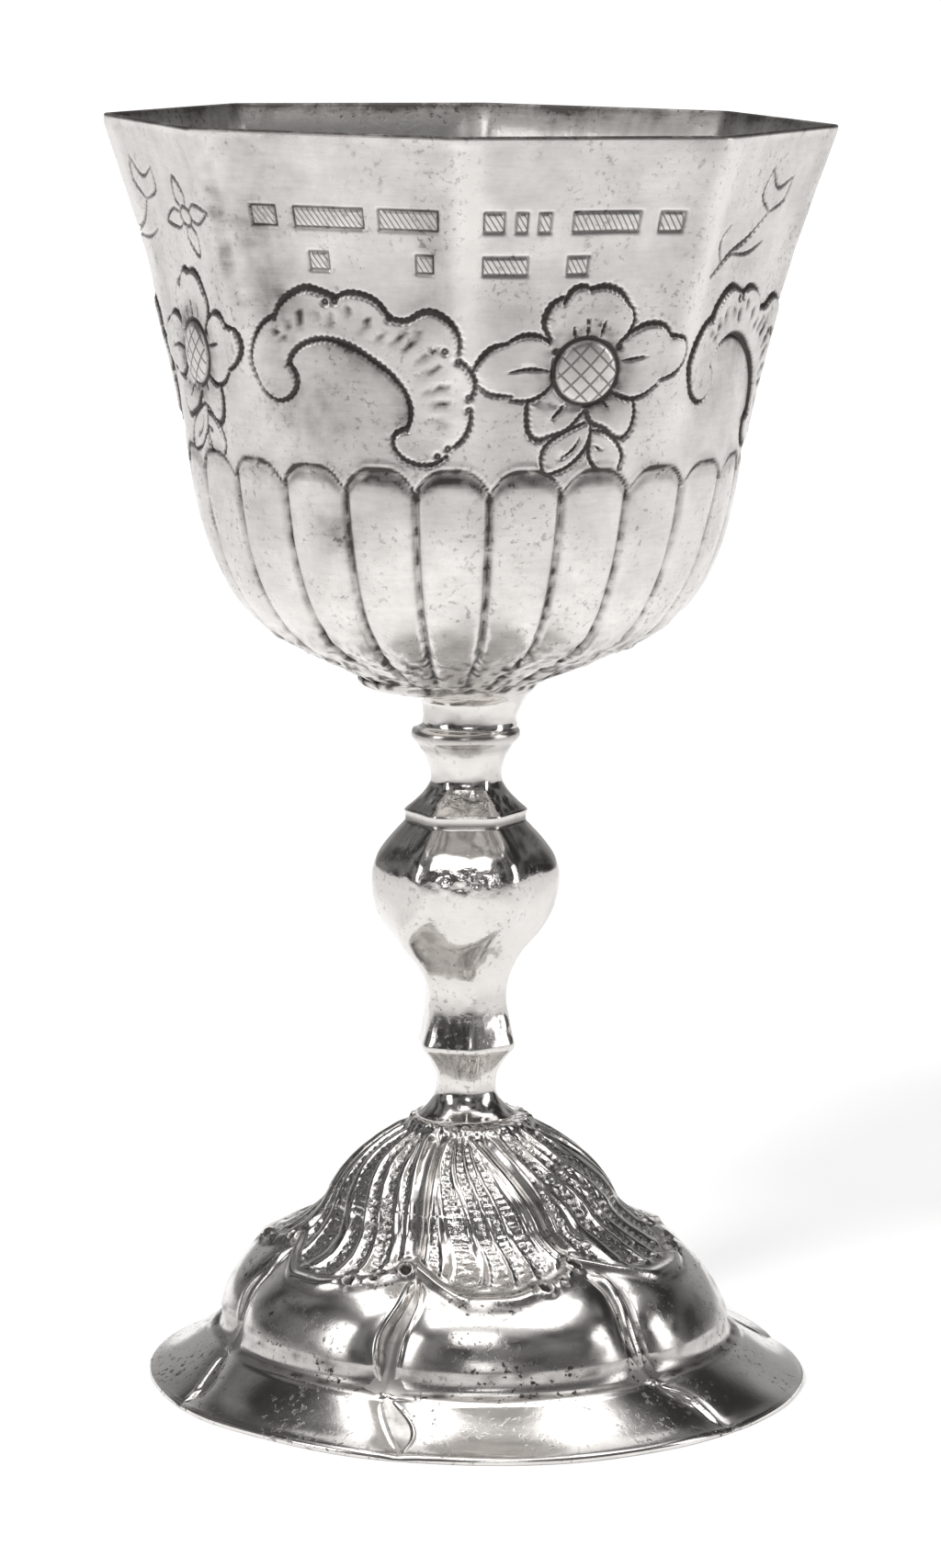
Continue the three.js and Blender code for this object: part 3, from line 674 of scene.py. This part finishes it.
# Sprigs scratched above the ornament on the panels at the sides: a tulip, and a blossom of four petals
tulip = [
    (0.3, 0.6, [-5, 46.5], [-3, 48.5], [-0.5, 50], [1.5, 52.5]),
    (0.2, 0.7, [-2.8, 48.6], [-0.2, 48.4], [2, 49.4]),
    (0.22, 0.7, [1.5, 52.5], [0, 54.4], [0.6, 57]), (0.22, 0.7, [1.5, 52.5], [3.6, 53.6], [4, 56]),
    (0.2, 0.7, [0.6, 57], [2, 55], [4, 56]), (0.18, 0.8, [-4, 47.6], [-4.6, 50], [-3.6, 51.8]),
]
BLOSSOM_HEIGHT = 51.5
blossom = [(0.2, 0.1, *([cos(turn), BLOSSOM_HEIGHT + sin(turn)] for turn in np.linspace(0, 2 * pi, 9)))]
for petal in range(4):
    turn = pi / 2 * petal + 0.2
    outline = [(1, -0.45), (2.4, -0.42), (4.1, 0), (2.4, 0.42), (1, 0.45)]
    points = [[far * cos(turn + aside), BLOSSOM_HEIGHT + far * sin(turn + aside)] for far, aside in outline]
    blossom.append((0.22, 0.4, *points))

# Each sprig's bearing, and the radius of a bowl that it would fit unstretched. The side ones are drawn wide.
SPRIGS = [
    (blossom, -60, 19), (tulip, -86, 19), (tulip, 63, 19),
    (blossom, 113, 30), (tulip, 158, 30), (blossom, 203, 30),
]

# Dull patches on the bowl, and narrow tall ones just beside the corners that are painted shade: bearing in
# degrees, height, half width, half height, strength
smudges_and_corner_shade = [
    (-45.4, 50, 0.8, 9, 0.4), (-40, 49, 4, 8, 0.26), (-36, 42, 3.5, 4, 0.2), (-31, 33, 5, 4, 0.28),
    (-6, 50, 1.8, 7, 0.1), (-9, 43.5, 3, 3, 0.1), (7, 44, 3, 3, 0.14), (-27, 20, 3.5, 4, 0.22),
    (-46, 24, 3, 5, 0.12), (39, 50, 1.5, 8, 0.06), (6, 32, 3, 3, 0.12), (60, 36, 4, 5, 0.1),
    (130, 40, 6, 6, 0.2), (-120, 35, 7, 5, 0.2), (165, 50, 6, 5, 0.2), (-155, 20, 5, 5, 0.2),
]

# The inscription's place holds two rows of hatched bars that aren't letters. A row is its height, how tall
# it is, and the bearings that each bar starts and ends at, in degrees.
BAR_ROWS = [
    (52.4, 2.0, [(-39.5, -35), (-31.5, -18.5), (-15.5, -5), (2.5, 6), (8, 10), (12, 14.2), (18.3, 30.5),
                 (34, 38)]),
    (48, 1.8, [(-29.7, -26), (-9, -6), (2.5, 10.5), (18, 22)]),
]


def smooth_line(points, steps=7):
    """Points on a smooth curve through the given ones."""
    points = np.array(points, float)
    ends = np.vstack([2 * points[0] - points[1], points, 2 * points[-1] - points[-2]])
    t = np.linspace(0, 1, steps, endpoint=False)[:, None]
    spans = [
        b + 0.5 * t * ((c - a) + t * (2 * a - 5 * b + 4 * c - d + t * (3 * b - a - 3 * c + d)))
        for a, b, c, d in zip(ends, ends[1:], ends[2:], ends[3:])
    ]
    return np.vstack([*spans, points[-1:]])


def beside_line(x, y, line):
    """How far each point is from a line, how far along it the nearest place is, and the line's length."""
    start, reach = line[:-1], np.diff(line, axis=0)
    length = np.hypot(*reach.T)
    before = np.concatenate([[0], np.cumsum(length)[:-1]])
    from_x, from_y = x[:, None] - start[:, 0], y[:, None] - start[:, 1]
    share = np.clip((from_x * reach[:, 0] + from_y * reach[:, 1]) / length ** 2, 0, 1)
    apart = np.hypot(from_x - share * reach[:, 0], from_y - share * reach[:, 1])
    along = before + share * length
    each, nearest = np.arange(len(x)), apart.argmin(1)
    return apart[each, nearest], along[each, nearest], length.sum()


def chase(x, y, strokes, cut):
    """Cuts strokes into cut, which holds how deep the tool went at each point, from 0 to 1."""
    for width, taper, *points in strokes:
        line = smooth_line(points)
        low, high = line.min(0) - 2 * width, line.max(0) + 2 * width
        here = (x > low[0]) & (x < high[0]) & (y > low[1]) & (y < high[1])
        if not here.any():
            continue
        apart, along, length = beside_line(x[here], y[here], line)
        middle = 1 - taper * abs(2 * along / length - 1) ** 2
        beat = 0.88 + 0.18 * np.cos(2 * pi * along / BEAT)
        stroke = np.exp(-((apart / (width * middle * beat)) ** 4)) * (0.75 + 0.25 * middle)
        cut[here] = np.maximum(cut[here], stroke)


def within(x, y, strokes):
    """Whether each point is inside the closed shape that the strokes' points go round."""
    loop = np.vstack([smooth_line(points) for _, _, *points in strokes])
    inside = np.zeros(len(x), bool)
    for (ax, ay), (bx, by) in zip(loop, np.roll(loop, -1, 0)):
        if ay != by:
            inside ^= ((ay > y) != (by > y)) & (x < (bx - ax) * (y - ay) / (by - ay) + ax)
    return inside


def flutes():
    """Strokes for the scroll's soft flutes, each from near its inner edge to near its outer one."""
    inner = smooth_line(scroll_edge[-1][2:])[::-1]
    outer = np.vstack([smooth_line(points) for _, _, *points in scroll_edge[1:7]])
    made = []
    for share in np.linspace(0.14, 0.93, 15):
        low, high = inner[int(share * (len(inner) - 1))], outer[int(share * (len(outer) - 1))]
        made.append((0.32, 0.7, blend(low, high, 0.3), blend(low, high, 0.52), blend(low, high, 0.74)))
    return made


def from_eye(x, y):
    """How far each point of the flower is from the middle of its eye."""
    return np.hypot((x - EYE[0]) * EYE_HEIGHT_SHARE, y - EYE[1])


def ornament(x, y, kind):
    """A scroll's or a flower's cuts, its rise and its soft shading, at millimetres across and heights."""
    cut, rise, soft = np.zeros((3, len(x)))
    edge = scroll_edge if kind == "scroll" else flower_edge
    rings = scroll_rings if kind == "scroll" else flower_rings
    chase(x, y, edge, cut)
    for ring_x, ring_y in rings:
        apart = np.hypot(x - ring_x, y - ring_y)
        cut = np.maximum(cut, bump(apart - 0.22, 0.2))
    if kind == "scroll":
        chase(x, y, flutes(), soft)
        inside = within(x, y, scroll_edge)
        rise = inside * 0.3
        apart = beside_line(x, y, smooth_line(scroll_edge[-1][2:]))[0]
        soft = np.maximum(soft, ~inside * (y > 30) * np.exp(-apart / 1.1) * step(x, -7, -2))
    else:
        chase(x, y, flower_veins, cut)
        apart = from_eye(x, y)
        eye = apart < EYE_RADIUS
        cut = np.where(eye, 0, cut)
        cut = np.maximum(cut, bump(apart - EYE_RADIUS, 0.3))
        petals = within(x, y, flower_edge[:PETAL_STROKES])
        soft = petals * ~eye * 0.6 * bump(apart - EYE_RADIUS, 1.8)
        rise = np.where(eye, 0.25 + 0.35 * (1 - (apart / EYE_RADIUS) ** 2), petals * 0.2)
    return cut, rise, soft


# ---- Bowl ----
PANELS = 8
BOWL_TURN = radians(-2.5)
GADROONS = 24
GADROON_TOP = 27.1
ARCH_HEIGHT = 2.4
BOWL_COLUMNS = GADROONS * 12
BASE_TARNISH = 0.07
# how dark the lip is painted: a painted reflection of the dim room above it
LIP_SHADE = 0.75

bowl_outline = [
    (2, [0, 0.1], [2, 0.1], [4, 0.15], [5, 0.2]),
    (22, [5, 0.2], [8.5, 0.7], [17.2, 4.8], [19.9, 6.4]),
    (22, [19.9, 6.4], [25.4, 10.1], [27.6, 15.9], [28.85, 23.3]),
    (64, [28.85, 23.3], [31.3, 37.1], [33.7, 46], [38.75, 60.6]),
    (4, [38.75, 60.6], [38.95, 61.1], [38.3, 61.2], [38.1, 60.8]),
    (14, [38.1, 60.8], [32.9, 46], [30.5, 37.1], [28.05, 23.4]),
    (6, [28.05, 23.4], [26.8, 16.1], [24.6, 10.5], [19.4, 7]),
    (5, [19.4, 7], [16.6, 5.4], [8.5, 1.5], [0, 1.1]),
]
BOWL_OUTSIDE = rows_in(bowl_outline[:4])


def turned(bearing, middle):
    """How far each bearing is to the right of a middle one, from half a turn left to half a turn right."""
    return (bearing - middle + pi) % (2 * pi) - pi


def chasing(bearing, height, outside):
    """The whole bowl's cuts, rises, soft marks and hatching, at bearings and heights on it."""
    cut, rise, soft, hatch = np.zeros((4, len(bearing)))
    lowest, highest = ORNAMENT_HEIGHTS
    for kind, first in (("scroll", SCROLL_BEARING), ("flower", FLOWER_BEARING)):
        for quarter in range(4):
            x = turned(bearing - first, quarter * pi / 2) * ORNAMENT_RADIUS
            here = outside & (abs(x) < ORNAMENT_HALF_WIDTH) & (height > lowest) & (height < highest)
            for whole, values in zip((cut, rise, soft), ornament(x[here], height[here], kind)):
                whole[here] = np.maximum(whole[here], values)
            if kind == "flower":
                hatch[here & (from_eye(x, height) < EYE_RADIUS - 0.3)] = 1
    for sprig, place, radius in SPRIGS:
        x = turned(bearing, radians(place)) * radius
        here = outside & (abs(x) < 9) & (height > 45)
        scratched = np.zeros(here.sum())
        chase(x[here], height[here], sprig, scratched)
        cut[here] = np.maximum(cut[here], scratched * 0.8)
    degrees = np.degrees(turned(bearing, 0))
    for middle, tall, bars in BAR_ROWS:
        up = tall / 2 - abs(height - middle)
        for start, end in bars:
            inward = np.minimum(up, np.minimum(degrees - start, end - degrees) * 0.6)
            here = outside & (inward > -0.5)
            cut[here] = np.maximum(cut[here], 0.85 * bump(inward[here], 0.15))
            hatch[here & (inward > 0)] = 0.5
    return cut, rise, soft, hatch


def on_bowl(sheet):
    """Where the sheet's points lie on the bowl, its gadroons and its chasing.

    Across goes from 0 at a gadroon's middle to 1 at its side, and below is how far under its top.
    """
    u, v = sheet_points(sheet)
    station = v * rows_in(bowl_outline)
    radius, height, out, up = follow(bowl_outline, station)
    outside = station <= BOWL_OUTSIDE
    corner = u * 2 * pi
    cut, rise, soft, hatch = chasing(corner + BOWL_TURN, height, outside)
    gadroon = np.round(u * GADROONS)
    across = abs(u * GADROONS - gadroon) * 2
    half = pi * radius / GADROONS
    return SimpleNamespace(
        station=station, radius=radius, height=height, out=out, up=up, outside=outside,
        corner=corner, bearing=corner + BOWL_TURN, flat=step(height, 22, 50),
        cut=cut, rise=rise, soft=soft, hatch=hatch,
        middle=gadroon * 2 * pi / GADROONS + BOWL_TURN, across=across, half=half,
        side=(1 - across) * half, below=GADROON_TOP - ARCH_HEIGHT * across ** 3 - height)


def gadroons(at):
    """The gadroons' shape, and the painted shade in the crescents under their round tops.

    The crescents are cut deepest and painted darkest in front and a third of the way round from there.
    """
    cupped = (1 - at.across ** 4) * (0.15 + 0.85 * np.cos(1.5 * at.middle) ** 2)
    cut = np.maximum(bump(at.side, 0.4), bump(np.maximum(at.below - 0.35, 0), 0.75) * cupped)
    groove = -0.5 * cut * step(at.height, 1, 5) * step(at.half, 0.8, 2)
    swell = 0.3 * (1 - at.across ** 2) * step(at.height, 3, 10)
    # the crescents' darkness is painted shade, strongest in front and a third of the way round
    crescent_shade = (0.85 * bump(at.below - 1.1, 0.4) + 0.4 * bump(at.below - 0.5, 0.45)) * cupped
    return groove + swell - 0.15, crescent_shade


def bowl_dents(at, x, y):
    """Broad and small dents in the sheet silver, and a crumpled bottom."""
    def dent(size, seed):
        return wander(x, y, at.height, size, seed)

    crumpled = (1 - step(at.height, 6, 11)) * step(at.height, 0.3, 1)
    dents = 0.3 * dent(14, 6) + 0.1 * dent(5, 9) + 0.03 * dent(2.2, 11)
    dents = dents + crumpled * (0.34 * dent(1.5, 12) + 0.1 * dent(0.8, 21))
    return np.where(at.outside, dents, 0)


def bowl_marks(at, on_gadroon, crescent_shade, x, y):
    """The bowl's tarnish with painted light and shade, matte and crumbs: grooves with painted shade in the
    crescents, chasing, smudges with painted shade beside the corners, painted highlights along the corners, a
    lip painted dark, and the lining with painted highlights along its corners.
    """
    def patches(size, seed, height=at.height):
        return wander(x, y, height, size, seed)

    patchy = step(patches(1.1, 18), -0.5, 0.4)
    low = 1 - step(at.height, 4, 10)
    from_corner = abs((at.bearing + pi / PANELS) % (2 * pi / PANELS) - pi / PANELS) * at.radius

    # dark tarnish down the grooves, and painted shade in the crescents under the arches
    grooves_and_crescent_shade = bump(at.side, 0.36) * (0.25 + 0.5 * patchy) + crescent_shade * (0.6 + 0.4 * patchy)
    arches = 0.95 * bump(at.below - 0.05, 0.3) * (0.6 + 0.4 * patchy)
    chased = 0.9 * at.cut ** 1.5 + 0.85 * at.soft * (0.4 + 0.6 * patchy)
    tarnish = BASE_TARNISH + on_gadroon * grooves_and_crescent_shade + arches + (1 - on_gadroon) * chased
    tarnish = tarnish + 0.6 * low * step(patches(1, 19), 0.05, 0.35)
    degrees = np.degrees(at.bearing)
    uneven = 1 + 0.8 * patches(1.3, 15)
    for place, middle, wide, tall, strength in smudges_and_corner_shade:
        from_middle = ((degrees - place + 180) % 360 - 180) * 0.55
        apart = np.hypot(from_middle / wide, (at.height - middle) / tall)
        tarnish = tarnish + strength * bump(apart, 1) * uneven
    # painted highlight along each outside corner of the panels, with a faint painted shade a little way off
    corner_highlight = at.flat * (0.22 * bump(from_corner, 1.4) - 0.05 * bump(from_corner - 4, 1.6))

    # the lining: darker towards the bottom and in patches, with a painted highlight along each corner
    darkened = -0.08 + 0.2 * patches(3, 8) + 0.3 * patches(0.8, 20) + 0.3 * (1 - step(at.height, 8, 25))
    lit_strip = bump(from_corner - 0.6, 0.9)
    darkened = np.clip(darkened, -0.1, 1) * (1 - lit_strip) - 0.2 * lit_strip

    tarnish = np.where(at.outside, tarnish - corner_highlight, darkened)
    # the lip is painted dark all round, a painted reflection of the dim room above it
    on_lip = abs(at.station - BOWL_OUTSIDE - 2.5) < 2
    tarnish = np.clip(np.where(on_lip, LIP_SHADE, tarnish), -0.2, 1)
    matte = np.where(at.outside, 0, 0.28 + 0.2 * lit_strip)
    return {"tarnish": tarnish, "matte": matte, "crumbs": np.where(at.outside, 0.8 * low, 0.12)}


def bowl_piece(material):
    sheet = new_sheet("bowl_silver", BOWL_COLUMNS, rows_in(bowl_outline))
    at = on_bowl(sheet)
    in_groove = (at.side < 0.75) & (at.below > 0) & (at.height > 5)
    chased = (at.cut > 0.01) & (at.below < 0)
    refine(sheet, at.outside & (in_groove | (abs(at.below - 0.1) < 0.8) | chased))
    at = on_bowl(sheet)
    in_front = abs(at.corner - pi) > pi / 2.4
    refine(sheet, at.outside & (at.cut > 0.15) & (at.below < 0) & in_front)
    at = on_bowl(sheet)

    # the gadroons below, a small lip over their tops, and the chasing above
    gadroon_shape, crescent_shade = gadroons(at)
    on_gadroon = step(at.below, -0.18, 0.18) * at.outside
    lip = 0.1 * bump(at.below + 0.4, 0.3) * at.outside
    chased = at.rise - 0.28 * at.cut - 0.16 * at.soft
    x, y = at.radius * np.sin(at.corner), -at.radius * np.cos(at.corner)
    push = on_gadroon * gadroon_shape + (1 - on_gadroon) * (lip + chased) + bowl_dents(at, x, y)

    # the round bottom is off the bowl's middle, and the bowl leans
    far = at.radius * blend(1, polygon(at.corner, PANELS, 220), at.flat) + at.out * push
    x = far * np.sin(at.bearing) - 0.8 * (1 - step(at.height, 0, 9))
    y = -far * np.cos(at.bearing)
    z = at.height + at.up * push
    lean_x = x * cos(BOWL_LEAN) + z * sin(BOWL_LEAN) + BOWL_SHIFT
    lean_z = z * cos(BOWL_LEAN) - x * sin(BOWL_LEAN) + BOWL_BASE

    marks = bowl_marks(at, on_gadroon, crescent_shade, x, y)
    draw_on(sheet, at.bearing * ORNAMENT_RADIUS, at.height)
    piece = wrap(sheet, lean_x, y, lean_z, hatch=at.hatch * (1 - on_gadroon), **marks)
    finish_piece(piece, "bowl", material)


# ---- The studio ----
CAMERA_DISTANCE = 0.55535
CAMERA_HEIGHT = 0.16196
CAMERA_PITCH = radians(9.9126)
CAMERA_LENS = 120.47
TABLE_GLOW = 0.51  # round the cup
FAR_GLOW = 0.25  # how much brighter the table is far behind it
FRONT_LIGHT = 2.0
CUP_MIDDLE = (0, 0, 0.07)


def camera():
    place = (0, -CAMERA_DISTANCE, CAMERA_HEIGHT)
    bpy.ops.object.camera_add(location=place, rotation=(pi / 2 - CAMERA_PITCH, 0, 0))
    made = bpy.context.object
    made.data.lens = CAMERA_LENS
    made.data.sensor_width = 36
    bpy.context.scene.camera = made


def table():
    """A white table that glows, a painted light that is dimmer to the sides and towards the camera, outside
    its view.
    """
    bpy.ops.mesh.primitive_plane_add(size=24, location=(0, 4, 0))
    made = bpy.context.object
    bpy.ops.object.transform_apply()
    made.name = "table"
    material = bpy.data.materials.new("white_table")
    material.use_nodes = True
    shader = material.node_tree.nodes["Principled BSDF"]
    shader.inputs["Base Color"].default_value = (0.5, 0.5, 0.5, 1)
    shader.inputs["Roughness"].default_value = 0.9
    shader.inputs["Specular IOR Level"].default_value = 0
    shader.inputs["Emission Color"].default_value = (1, 1, 1, 1)
    add, sums, ramp = graph(material.node_tree)
    place = add("SeparateXYZ", add("TexCoord").outputs["Object"])
    near = ramp(place.outputs["Y"], -0.34, -0.06, 0.05, TABLE_GLOW, "SMOOTHSTEP")
    far = ramp(place.outputs["Y"], 0.15, 0.7, 0, FAR_GLOW, "SMOOTHSTEP")
    ahead = sums("MAXIMUM", sums("ADD", place.outputs["Y"], CAMERA_DISTANCE), 0.05)
    aside = sums("DIVIDE", sums("ABSOLUTE", place.outputs["X"]), ahead)
    darker = ramp(aside, 0.1, 0.32, 1, 0.55, "SMOOTHSTEP")
    glow = sums("MULTIPLY", sums("ADD", near, far), darker)
    material.node_tree.links.new(glow, shader.inputs["Emission Strength"])
    made.data.materials.append(material)


def softbox(name, location, width, height, power):
    """A lamp that faces the middle of the cup."""
    bpy.ops.object.light_add(type="AREA", location=location)
    lamp = bpy.context.object
    lamp.name = name
    lamp.data.shape = "RECTANGLE"
    lamp.data.size, lamp.data.size_y = width, height
    lamp.data.energy = power
    towards = Vector(CUP_MIDDLE) - Vector(location)
    lamp.rotation_euler = towards.to_track_quat("-Z", "Y").to_euler()


def front_light():
    """A soft light from the front, left and above, which makes the faint shadow behind the cup."""
    bpy.ops.object.light_add(type="SUN", rotation=(radians(48), 0, radians(-33)))
    lamp = bpy.context.object
    lamp.name = "front_light"
    lamp.data.energy = FRONT_LIGHT
    lamp.data.angle = radians(12)
    lamp.visible_glossy = False


def sky():
    """White low behind the cup, grey beside it, and a dim uneven room with a pale ceiling all round."""
    world = bpy.data.worlds.new("studio")
    bpy.context.scene.world = world
    world.use_nodes = True
    add, sums, ramp = graph(world.node_tree)
    direction = add("TexCoord").outputs["Generated"]
    parts = add("SeparateXYZ", direction).outputs
    behind = ramp(parts["Y"], 0.45, 0.85, 0, 0.95, "SMOOTHSTEP")
    low = ramp(parts["Z"], 0.3, 0.65, 1, 0, "SMOOTHSTEP")
    narrow = ramp(sums("ABSOLUTE", parts["X"]), 0.1, 0.24, 1, 0.4, "SMOOTHSTEP")
    white = sums("MULTIPLY", sums("MULTIPLY", behind, narrow), low)
    room = ramp(add("TexNoise", direction, Scale=3.0).outputs["Fac"], 0.4, 0.65, 0.03, 0.22, "SMOOTHSTEP")
    room = sums("ADD", room, ramp(parts["Z"], 0.78, 0.93, 0, 0.7, "SMOOTHSTEP"))
    backdrop = world.node_tree.nodes["Background"]
    world.node_tree.links.new(sums("MAXIMUM", white, room), backdrop.inputs["Color"])
    backdrop.inputs["Strength"].default_value = 1


camera()
table()
sky()
front_light()
softbox("left_softbox", (-0.55, -0.25, 0.3), 0.2, 0.4, 0.6)
softbox("right_softbox", (0.6, -0.1, 0.25), 0.2, 0.4, 0.5)
softbox("front_softbox", (0.02, -0.9, 0.33), 0.25, 0.12, 0.3)
softbox("high_softbox", (-0.05, -0.5, 0.66), 0.3, 0.25, 0.5)
softbox("top_softbox", (0, -0.02, 0.8), 0.9, 0.5, 2.7)
softbox("back_softbox", (0, 0.4, 0.8), 0.7, 0.3, 0.5)
bpy.context.scene.view_settings.view_transform = "Standard"

foot_piece(silver("foot_silver", (0.82, 0.792, 0.765), 0.12, (0.07, 0.06, 0.055), 0.2, 0.75))
stem_piece(silver("stem_silver", (0.79, 0.762, 0.735), 0.1, (0.08, 0.07, 0.065), 0.12, 0.35))
bowl_piece(silver("bowl_silver", (0.93, 0.9, 0.87), 0.24, (0.1, 0.09, 0.085), 0.24, 0.32))
